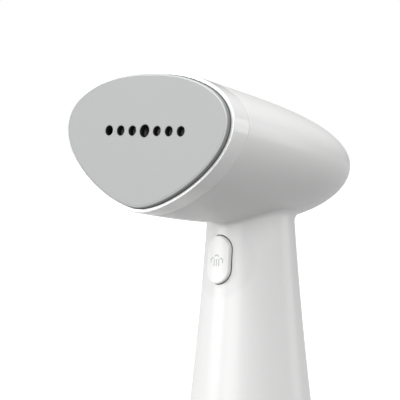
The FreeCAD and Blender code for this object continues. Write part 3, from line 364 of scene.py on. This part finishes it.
def gripPoint(angle, z, inset=0.0):
    # a point of the handle's skin, by the angle round it and the height
    r = gripRadius(z) - inset
    return np.stack([r * np.cos(angle), r * np.sin(angle), z + 0 * angle], axis=-1) * mm


def junction(angle, spread, inset):
    # where the head's underside lies over a circle spread millimetres outside the handle's wall:
    # Newton steps on the head's two parameters from a rough start, all angles at once
    t = np.full_like(angle, -math.pi / 2) + 0.6 * np.cos(angle)
    u = np.full_like(angle, 0.58) + 0.15 * np.sin(angle)

    def miss(t, u):
        p = toObject(*headAt(t, u, inset)) / mm
        r = gripRadius(p[..., 2]) - inset + spread
        return p[..., 0] - r * np.cos(angle), p[..., 1] - r * np.sin(angle)

    step = 1e-5
    for _ in range(30):
        f, g = miss(t, u)
        ft, gt = miss(t + step, u)
        fu, gu = miss(t, u + step)
        a, b, c, d = (ft - f) / step, (fu - f) / step, (gt - g) / step, (gu - g) / step
        det = a * d - b * c
        # no step is longer than these limits, so that a poor start can't run away
        t = t - np.clip((f * d - b * g) / det, -0.2, 0.2)
        u = u - np.clip((a * g - f * c) / det, -0.1, 0.1)
    return t, u


# one-piece housing: bullet head, handle, button hole and gland hole
# each hole lies in a block of the handle's rows, from low to high, and of the columns within its reach
housing = {
    "edgeRound": 0.3, "sharpOver": 65, "seamGap": 0.07,
    "filletFront": 1.8, "filletGrow": 3.5, "filletPower": 1.5, "filletInside": 0.4,
    "buttonZ": 153.0, "buttonHalf": 7.8, "buttonStraight": 5.0,
    "buttonLow": 137.8, "buttonHigh": 167.3, "buttonReach": 16,
    "glandZ": 92.0, "glandRadius": 6.45, "glandLow": 80.0, "glandHigh": 104.0, "glandReach": 14,
    "columns": 256, "headColumns": 208, "window": 64, "windowFront": 54.0, "windowBack": 117.0,
    "frontRows": 24, "noseRows": 26,
}


def ringIds(ids):
    # the outer edge of a block of vertex numbers, walked once round
    return np.concatenate([ids[0, :-1], ids[:-1, -1], ids[-1, :0:-1], ids[:0:-1, 0]])


def cutHole(net, ids, rows, angle, inset, keep, label):
    # a hole through the handle: rings from the block's border in to the hole's edge; returns that edge
    if label == "button":
        centre, half, straight = -math.pi / 2, housing["buttonHalf"], housing["buttonStraight"]
    else:
        centre, half, straight = math.pi / 2, housing["glandRadius"], 0.0
    height, low, high, reach = (housing[label + part] for part in ("Z", "Low", "High", "Reach"))
    column = int(round((centre - angle[0]) / (2 * math.pi) * len(angle))) % len(angle)
    r0, r1 = int(np.argmin(abs(rows - low))), int(np.argmin(abs(rows - high)))
    columns = np.arange(column - reach, column + reach + 1)
    keep[r0:r1, columns[:-1]] = False
    border = ringIds(ids[r0:r1 + 1][:, columns])
    turn, z = np.meshgrid(angle[columns] - angle[column], rows[r0:r1 + 1])
    turn, z = ringIds(turn), ringIds(z)

    # each border point looks at the hole's centre; the hole's edge is where that line meets the pill
    across = gripRadius(z) * np.sin(turn)
    dx, dz = across, z - height
    size = np.hypot(dx, dz)
    dx, dz = dx / size, dz / size
    onSide = np.abs(dz) * half <= straight * np.abs(dx)
    ray = np.where(onSide, half / np.maximum(np.abs(dx), 1e-9),
                   straight * np.abs(dz) + np.sqrt(np.maximum(half**2 - (straight * dx) ** 2, 0)))

    # both skins use the same prism, so the hole's walls run straight through
    steps = np.linspace(0, 1, 9)[1:, None]
    acrossAll = across[None] * (1 - steps) + (ray * dx)[None] * steps
    zAll = z[None] * (1 - steps) + (height + ray * dz)[None] * steps
    skinAngle = np.arcsin(acrossAll / (gripRadius(zAll) - inset * steps))
    rings = net.add(gripPoint(centre + skinAngle, zAll, inset))
    net.skin(np.vstack([border[None], rings]), flip=inset > 0)
    return rings[-1]


def headSkin(net, inset):
    # rows along the head's length and columns round it, closed at the nose, with a square window left open
    # for the handle; returns the front row, the window's border and the border's two parameters
    m, w, first = housing["headColumns"], housing["window"], housing["frontRows"]
    tLines = 2 * math.pi * (np.arange(m) - w / 2) / m - math.pi / 2
    front = shareAt(head["proud"] + head["bezelDepth"] + housing["seamGap"], inset)
    u0, u1 = shareAt(housing["windowFront"]), shareAt(housing["windowBack"])
    # towards the nose the rows are evenly spread in the section's size
    nose = np.linspace(math.sqrt(1 - u1 ** head["nosePower"]), 0, housing["noseRows"] + 2)[1:-1]
    uLines = np.concatenate([np.linspace(front, u0, first + 1)[:-1], np.linspace(u0, u1, w + 1),
                             (1 - nose**2) ** (1 / head["nosePower"])])
    ids = net.add(toObject(*headAt(tLines[None, :], uLines[:, None], inset)))
    keep = np.ones((len(uLines) - 1, m), dtype=bool)
    keep[first:first + w, :w] = False
    net.skin(ids, flip=inset == 0, keep=keep)
    tip = net.add(toObject(*headAt(np.array([0.0]), np.array([1.0]), inset)))[0]
    net.fan(tip, ids[-1], flip=inset == 0)
    tBlock, uBlock = np.meshgrid(tLines[:w + 1], uLines[first:first + w + 1])
    return ids[0], ringIds(ids[first:first + w + 1, :w + 1]), ringIds(tBlock), ringIds(uBlock)


def housingSkin(net, inset):
    # one skin of the shell at a given depth; returns the edge rows that the two skins share
    h = housing
    angle = 2 * math.pi * np.arange(h["columns"]) / h["columns"] - 3 * math.pi / 4

    # the handle's straight stretch, in rows of constant height
    rows = np.concatenate([np.linspace(grip["foot"], h["glandLow"], 5)[:-1],
                           np.linspace(h["glandLow"], h["glandHigh"], 25)[:-1],
                           np.linspace(h["glandHigh"], h["buttonLow"], 18)[:-1],
                           np.linspace(h["buttonLow"], h["buttonHigh"], 31)])
    ids = net.add(gripPoint(angle[None, :], rows[:, None], inset))
    keep = np.ones((len(rows) - 1, len(angle)), dtype=bool)
    rims = {"foot": ids[0]}
    for label in ("button", "gland"):
        rims[label] = cutHole(net, ids, rows, angle, inset, keep, label)
    net.skin(ids, flip=inset > 0, keep=keep)

    # from the last level row up to the junction, round the fillet, and out onto the head
    # the outer fillet is small in front and grows towards the back with the sine of the angle
    fillet = np.full_like(angle, h["filletInside"])
    if inset == 0:
        fillet = h["filletFront"] + h["filletGrow"] * (0.5 + 0.5 * np.sin(angle)) ** h["filletPower"]
    corner = toObject(*headAt(*junction(angle, 0.0, inset), inset))
    tOut, uOut = junction(angle, fillet, inset)
    out = toObject(*headAt(tOut, uOut, inset))
    down = gripPoint(angle, corner[:, 2] / mm - fillet, inset)
    climb = np.linspace(0, 1, 4)[1:, None]
    zClimb = rows[-1] * (1 - climb) + down[None, :, 2] / mm * climb
    upper = net.add(gripPoint(angle[None, :], zClimb, inset))
    # a cubic whose handles reach this share of the way to the corner is a quarter circle
    reach = 0.5523
    inA, inB = down + (corner - down) * reach, out + (corner - out) * reach
    s = np.linspace(0, 1, 9)[1:, None, None]
    bend = (1 - s) ** 3 * down + 3 * (1 - s) ** 2 * s * inA + 3 * (1 - s) * s**2 * inB + s**3 * out
    bendIds = net.add(bend)
    net.skin(np.vstack([ids[-1:], upper, bendIds]), flip=inset > 0)

    # rings between the fillet's outer edge and the window's border, laid on the head's own skin
    rims["front"], border, tEdge, uEdge = headSkin(net, inset)
    s = np.linspace(0, 1, 13)[1:-1, None]
    middle = net.add(toObject(*headAt(tOut * (1 - s) + tEdge * s, uOut * (1 - s) + uEdge * s, inset)))
    net.skin(np.vstack([bendIds[-1:], middle, border[None]]), flip=inset > 0)
    return rims


def makeHousing(material):
    # two skins a wall apart, joined at the foot, the two holes and the front, with their edges rounded
    net = Net()
    outer = housingSkin(net, 0.0)
    inner = housingSkin(net, head["wall"])
    for label in outer:
        net.skin(np.vstack([outer[label][None], inner[label][None]]), flip=label == "foot")
    piece = net.piece("housingShell", material)
    bevel = piece.modifiers.new("edges", "BEVEL")
    bevel.width, bevel.segments = housing["edgeRound"] * mm, 3
    bevel.limit_method, bevel.angle_limit = "ANGLE", math.radians(housing["sharpOver"])
    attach(piece, "steamer")
    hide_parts("main_housing")


# glossy bezel: one closed band swept round the plate's outline
bezel = {
    "rimRound": 0.55, "seamRound": 0.25, "innerRound": 0.15, "sharpOver": 50,
    "plateGap": 0.6, "lipGap": 0.2, "lipDepth": 2.0, "lipSlope": 0.5, "insideDepth": 10.6,
    "tongue": 4.0, "tongueOut": 2.55, "tongueIn": 4.15, "columns": 288,
}


def makeBezel(material):
    # each row of the band is the outline or the head's section at one depth, all round
    b = bezel
    t = 2 * math.pi * np.arange(b["columns"]) / b["columns"]
    front, seam = head["proud"], head["proud"] + head["bezelDepth"]
    rows = []

    def outside(y, inset):
        # the head's section, drawn in by inset along the line towards a section one millimetre smaller
        x, _, z = headAt(t, np.full_like(t, shareAt(y)), 0.0)
        xIn, _, zIn = headAt(t, np.full_like(t, shareAt(y)), 1.0)
        rows.append(toObject(x + (xIn - x) * inset, np.full_like(t, y), z + (zIn - z) * inset))

    def inside(y, grow):
        # the plate's outline, grown
        x, z = outlineAt(t, grow)
        rows.append(toObject(x, np.full_like(t, y), z))

    # up the opening, over its small round, across the rim, over the big round, and back to the seam
    lip = front + b["lipDepth"]
    inside(b["insideDepth"], b["plateGap"])
    inside(lip + b["lipSlope"], b["plateGap"])
    inside(lip, b["lipGap"])
    inside(front + b["innerRound"], b["lipGap"])
    for a in np.linspace(0, math.pi / 2, 5)[1:]:
        inside(front + b["innerRound"] * (1 - math.sin(a)), b["lipGap"] + b["innerRound"] * (1 - math.cos(a)))
    for a in np.linspace(0, math.pi / 2, 9):
        outside(front + b["rimRound"] * (1 - math.cos(a)), b["rimRound"] * (1 - math.sin(a)))
    for y in np.linspace(front + b["rimRound"], seam - b["seamRound"], 16)[1:]:
        outside(y, 0.0)
    for a in np.linspace(0, math.pi / 2, 5)[1:]:
        outside(seam - b["seamRound"] * (1 - math.sin(a)), b["seamRound"] * (1 - math.cos(a)))
    # the tongue that reaches under the housing, and its inside back to the opening
    outside(seam, b["tongueOut"])
    outside(seam + b["tongue"], b["tongueOut"])
    outside(seam + b["tongue"], b["tongueIn"])
    outside(b["insideDepth"], b["tongueIn"])

    net = Net()
    ids = net.add(np.stack(rows))
    net.skin(np.vstack([ids, ids[:1]]), flip=True)
    piece = net.piece("bezelRing", material)
    piece.data.set_sharp_from_angle(angle=math.radians(b["sharpOver"]))
    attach(piece, "steamer")
    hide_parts("front_bezel")


# steam sign printed on the button: a cloud of arcs over three bars
# each arc: its centre across and up from the button's middle, its radius, and its two ends in degrees
sign = {
    "line": 0.42, "lift": 0.03, "thick": 0.03, "buttonProud": 2.0,
    "barHeight": 3.6, "barPitch": 1.59, "barTop": 0.43,
    "arcs": ((-2.45, -0.65, 1.6, 75, 215), (0.0, 0.75, 1.7, 30, 150), (2.45, -0.65, 1.6, -35, 105)),
}


def printedStroke(x, z):
    # a ribbon of the line's width along a path, laid on the button's front face
    dx, dz = np.gradient(x), np.gradient(z)
    size = np.hypot(dx, dz)
    side = np.linspace(-0.5, 0.5, 3)[:, None] * sign["line"]
    xs, zs = x - side * dz / size, z + side * dx / size
    height = housing["buttonZ"] + zs
    r = gripRadius(height) + sign["buttonProud"] + sign["lift"]
    return np.stack([xs, -np.sqrt(r**2 - xs**2), height], axis=-1) * mm


def makeSign(material):
    # each arc is a stretch of a circle and each bar a straight line, all of them printed strokes
    net = Net()
    for cx, cz, r, start, end in sign["arcs"]:
        a = np.radians(np.linspace(start, end, 22))
        net.skin(net.add(printedStroke(cx + r * np.cos(a), cz + r * np.sin(a))), wrapColumns=False)
    for i in (-1, 0, 1):
        z = np.linspace(sign["barTop"] - sign["barHeight"], sign["barTop"], 8)
        net.skin(net.add(printedStroke(np.full_like(z, i * sign["barPitch"]), z)), wrapColumns=False)
    piece = net.piece("steamSign", material)
    thick = piece.modifiers.new("ink", "SOLIDIFY")
    thick.thickness = sign["thick"] * mm
    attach(piece, "button")


# finishes of the pieces that show
# the shell and the button both carry painted shade on the walls round the button
shellWhite = plastic("shellWhite", (0.86, 0.865, 0.855), rough=0.25, grain=1.5 * mm, depth=0.0002 * mm,
                     cloud=0.008, gapShade=(-0.02, 0.14))
bezelWhite = plastic("bezelWhite", (0.87, 0.875, 0.865), rough=0.05, grain=2.0 * mm, depth=0.0003 * mm,
                     cloud=0.006, specular=0.7, coat=0.5)
buttonWhite = plastic("buttonWhite", (0.9, 0.905, 0.895), rough=0.26, grain=1.2 * mm, depth=0.0002 * mm,
                      cloud=0.008, gapShade=(-0.3, 0.15))
signGrey = plastic("signGrey", (0.4, 0.41, 0.4), rough=0.5, cloud=0.04)

# steam plate: pale coated face, a painted highlight round its edge, and walls with painted shade that darkens
# with their depth behind the face;
# edge says how much lighter the painted highlight is, side, deep and hole are the walls' painted shade
# colours, and the depths are in millimetres
plate = {
    "face": (0.276, 0.284, 0.28), "edge": 1.9, "side": (0.27, 0.277, 0.274), "deep": (0.1, 0.103, 0.102),
    "hole": (0.022, 0.023, 0.022), "rough": 0.34, "grain": 0.3,
    "edgeFrom": 0.015, "edgeTo": 0.06, "sideFrom": 0.36, "sideTo": 0.6, "deepFrom": 1.2, "deepTo": 3.0,
    "holeFrom": 0.02, "stripHalf": 32.0, "stripHigh": 9.0, "stripEdge": 2.0,
}


def coatedPlate():
    # one finish for the face, the painted highlight on its edge and the painted shade on its walls, told
    # apart by the depth behind the face
    f = finishNamed("plateGrey")
    spot = f.place()
    tilt = math.radians(head["tilt"])
    # depth behind the face is the point's distance along the head's own axis, measured from the face's centre
    axis = (0, math.cos(tilt), -math.sin(tilt))
    faceAt = (head["reach"] * axis[1] - head["centreHeight"] * axis[2]) * mm
    depth = f.vector("DOT_PRODUCT", spot, axis) + faceAt
    # painted highlight on the edge's round, a thin band just behind the face; painted shade on the walls,
    # darker further back
    edgeHighlightShare = f.ease(depth, plate["edgeFrom"] * mm, plate["edgeTo"] * mm)
    deepShadeShare = f.ease(depth, plate["deepFrom"] * mm, plate["deepTo"] * mm)
    haze = f.noise(spot, 18 * mm, 2.0)
    fine = f.noise(spot, plate["grain"] * mm, 4.0, 0.6)
    face = f.blend(haze, tint(plate["face"], 0.985), tint(plate["face"], 1.015))
    # the holes lie in a strip across the middle; painted shade makes their walls dark at once
    across = f.vector("DOT_PRODUCT", spot, (1, 0, 0))
    upright = f.vector("DOT_PRODUCT", spot, (0, -axis[2], axis[1]))
    lift = upright - (head["reach"] * axis[2] + head["centreHeight"] * axis[1]) * mm
    halfWide, halfHigh = plate["stripHalf"] * mm, plate["stripHigh"] * mm
    strip = ((1 - f.ease(across * across, halfWide**2, (halfWide + plate["stripEdge"] * mm) ** 2))
             * (1 - f.ease(lift * lift, halfHigh**2, (halfHigh + plate["stripEdge"] * mm) ** 2)))
    sooner = strip * (plate["sideFrom"] - plate["holeFrom"]) * mm
    wallShadeShare = f.ease(depth + sooner, plate["sideFrom"] * mm, plate["sideTo"] * mm)
    # painted shade: the walls darken with depth behind the face, and the holes' walls are darkest
    walls = f.blend(strip, f.blend(deepShadeShare, plate["side"], plate["deep"]), plate["hole"])
    # the face, with the painted highlight round its edge
    rim = f.blend(edgeHighlightShare, face, tint(plate["face"], plate["edge"]))
    return f.shade(Base_Color=f.blend(wallShadeShare, rim, walls), Normal=f.bump(fine, 0.002 * mm),
                   Roughness=plate["rough"] + 0.04 * (fine - 0.5) + 0.04 * (haze - 0.5))


makeHousing(shellWhite)
makeBezel(bezelWhite)
makeSign(signGrey)
dress(coatedPlate(), "steam_plate")
dress(buttonWhite, "steam_button")
print("visible skins made")

# finishes of the tank and of the pieces inside
black = plastic("blackPlastic", (0.035, 0.035, 0.038), rough=0.5, grain=0.6 * mm, depth=0.02 * mm, cloud=0.15)
dress(black, "chamber_carrier", "chassis", "microswitch", "check_valve", "relay", "dock_plate", "gland_nut",
      "triac")
# painted shade: the chamber and its cover are near black, standing in for the dark seen through the plate's
# holes
dress(metal("castingPaintedShade", (0.05, 0.05, 0.053), rough=0.6, grain=0.9 * mm, depth=0.05 * mm, metallic=0.4),
      "steam_chamber", "chamber_cover")
dress(rubber("redSilicone", (0.5, 0.12, 0.07)), "plate_gasket", "chamber_gasket")
dress(metal("elementSteel", (0.36, 0.33, 0.31), rough=0.4, stretch=(1, 1, 6)), "heating_element")
screwSteel = metal("screwSteel", (0.62, 0.62, 0.6), rough=0.3, stretch=(1, 1, 5))
dress(screwSteel, "cover_screws", "plate_screws", "carrier_screws", "chassis_screws", "board_screws",
      "dock_screws", "flap_pin")
dress(metal("turnedBrass", (0.72, 0.52, 0.22), rough=0.25, stretch=(1, 8, 1)), "inlet_nozzle")
dress(metal("pressedSteel", (0.56, 0.56, 0.55), rough=0.32), "thermostat", "fuse_clip")
dress(rubber("glassSleeve", (0.82, 0.8, 0.72), rough=0.8, grain=0.5 * mm, depth=0.08 * mm),
      "thermal_fuse", "heater_leads")
dress(plastic("switchRed", (0.5, 0.05, 0.04), rough=0.3), "switch_plunger")
dress(clearPlastic("clearSilicone", (0.86, 0.87, 0.86), rough=0.3), "water_hose", "feed_tube", "dip_tube")
dress(metal("springSteel", (0.58, 0.59, 0.6), rough=0.22), "button_springs", "pump_spring", "hose_clips",
      "pump_plunger")
dress(plastic("boardGreen", (0.03, 0.2, 0.09), rough=0.35, grain=1.2 * mm, depth=0.02 * mm, cloud=0.15),
      "control_board")
dress(plastic("sleeveBlue", (0.04, 0.07, 0.28), rough=0.25), "capacitor")
dress(plastic("nylonWhite", (0.78, 0.78, 0.74), rough=0.45), "terminal_block", "pump_body", "tank_lid")
dress(windings("copperWindings", (0.62, 0.26, 0.1), 0.5 * mm), "pump_coil")
dress(metal("zincSteel", (0.45, 0.46, 0.46), rough=0.38, grain=2 * mm, cloud=0.2), "pump_yoke")
dress(rubber("blackRubber", (0.03, 0.03, 0.032)), "pump_mounts", "dock_seal", "port_seal", "lid_seal")
dress(plastic("glandGrey", (0.55, 0.56, 0.55), rough=0.45), "cord_gland")
dress(clearPlastic("tankClear", (0.83, 0.88, 0.9), rough=0.06), "water_tank")
dress(rubber("flapGrey", (0.52, 0.53, 0.52), rough=0.55), "filler_flap")
dress(plastic("strainerGrey", (0.3, 0.31, 0.32), rough=0.45), "strainer")
dress(rubber("footGrey", (0.3, 0.31, 0.31)), "foot_pad")
print("finishes given to the construction's pieces")

# floor, light and camera
# shares of white glow that the floor shows: to the camera far off, to the camera near the object,
# and to glossy surfaces; shadowFrom and shadowTo are the distances, in metres, between near and far
studio = {
    "floorSize": 12.0, "floorShade": 0.23, "floorPale": 0.9, "floorStrength": 1.4,
    "floorGlow": 0.75, "shadowGlow": 0.36, "shadowFrom": 0.1, "shadowTo": 0.45, "glossyShare": 0.6,
    "worldLevel": 0.4,
}


def makeFloor():
    # a square at height nought, part matt and part glowing white, by the kind of ray
    f = finishNamed("paleFloor")
    spot = f.place()
    grain = f.noise(spot, 40 * mm, 3.0)
    camera, glossy, clear = f.ray("Is Camera Ray"), f.ray("Is Glossy Ray"), f.ray("Is Transmission Ray")

    def mottled(level):
        return f.blend(grain, (level - 0.01,) * 3, (level + 0.01,) * 3)

    # the light that the floor throws back is a dark floor's; the camera sees a pale one
    base = f.blend(camera, mottled(studio["floorShade"]), mottled(studio["floorPale"]))
    matt = f.node("ShaderNodeBsdfDiffuse", {}, {"Color": base})
    glow = f.node("ShaderNodeEmission", {}, {"Color": (1, 1, 1, 1), "Strength": studio["floorStrength"]})
    # near the object the floor glows less, so that the shadow stays
    far = f.ease(f.vector("LENGTH", spot), studio["shadowFrom"], studio["shadowTo"])
    direct = camera * (far * (studio["floorGlow"] - studio["shadowGlow"]) + studio["shadowGlow"])
    mirrored = f.larger(glossy * studio["glossyShare"], clear) * studio["floorGlow"]
    both = f.node("ShaderNodeMixShader", {}, {0: f.larger(direct, mirrored), 1: matt, 2: glow})
    f.node("ShaderNodeOutputMaterial", {}, {"Surface": both})
    half = studio["floorSize"] / 2
    corners = np.array([[-half, -half, 0], [half, -half, 0], [half, half, 0], [-half, half, 0]])
    floor = meshFrom("floor", corners, np.array([[0, 1, 2, 3]]), f.owner)


def makeWorld():
    # even light all round, and plain white to the camera and through clear plastic
    world = bpy.data.worlds.new("studio")
    bpy.context.scene.world = world
    f = Finish(world)
    seen = f.larger(f.ray("Is Camera Ray"), f.ray("Is Transmission Ray"))
    light = f.node("ShaderNodeBackground", {}, {"Color": (1, 1, 1, 1), "Strength": studio["worldLevel"]})
    white = f.node("ShaderNodeBackground", {}, {"Color": (1, 1, 1, 1), "Strength": 1.0})
    both = f.node("ShaderNodeMixShader", {}, {0: seen, 1: light, 2: white})
    f.node("ShaderNodeOutputWorld", {}, {"Surface": both})


def areaLight(name, place, aim, width, height, power):
    # a rectangular lamp at its place, turned to face the aim
    lamp = bpy.data.lights.new(name, "AREA")
    lamp.shape, lamp.size, lamp.size_y, lamp.energy = "RECTANGLE", width, height, power
    holder = bpy.data.objects.new(name, lamp)
    bpy.context.scene.collection.objects.link(holder)
    holder.location = place
    holder.rotation_euler = (aim - place).to_track_quat("-Z", "Y").to_euler()


# the camera's direction in degrees, its place in metres, and its lens as focus over width
shot = {
    "azimuth": 43.0, "elevation": 2.35, "distance": 1.300, "right": 0.0278, "up": -0.03275,
    "focus": 2622.0, "width": 400.0, "sensor": 36.0,
}


def makeCamera():
    # looks along the shot's direction, shifted right and up from the plate's centre; returns its own right
    a, e = math.radians(shot["azimuth"]), math.radians(shot["elevation"])
    right = Vector((math.cos(a), math.sin(a), 0))
    back = Vector((math.sin(a) * math.cos(e), -math.cos(a) * math.cos(e), math.sin(e)))
    up = back.cross(right)
    plateCentre = Vector((0, -head["reach"] * mm, head["centreHeight"] * mm))
    place = plateCentre + right * shot["right"] + up * shot["up"] + back * shot["distance"]
    data = bpy.data.cameras.new("camera")
    data.sensor_width = shot["sensor"]
    data.lens = shot["focus"] / shot["width"] * shot["sensor"]
    data.clip_start, data.clip_end = 0.05, 50.0
    camera = bpy.data.objects.new("camera", data)
    bpy.context.scene.collection.objects.link(camera)
    camera.matrix_world = Matrix(((right.x, up.x, back.x, place.x), (right.y, up.y, back.y, place.y),
                                  (right.z, up.z, back.z, place.z), (0, 0, 0, 1)))
    bpy.context.scene.camera = camera
    return right


makeFloor()
makeWorld()
right = makeCamera()
towards = Vector((right.y, -right.x, 0))
aim = Vector((0, -0.02, 0.19))
# each lamp: turn from the camera's side and height in degrees, distance, width, height, watts
lamps = {
    "key": (-40, 2, 1.3, 0.7, 0.5, 2.7),
    "side": (-80, 20, 1.3, 0.7, 0.9, 12.2),
    "front": (30, 35, 1.3, 0.5, 0.7, 6.9),
    "top": (0, 88, 1.3, 1.2, 1.2, 9.2),
    "panel": (101, 5, 1.3, 0.6, 0.6, 1.3),
}
for name, (turn, rise, distance, width, height, watts) in lamps.items():
    turn, rise = math.radians(turn), math.radians(rise)
    level = right * math.sin(turn) + towards * math.cos(turn)
    way = level * math.cos(rise) + Vector((0, 0, math.sin(rise)))
    areaLight(name, aim + way * distance, aim, width, height, watts)
bpy.context.scene.view_settings.view_transform = "Standard"
print("stage, light and camera set")
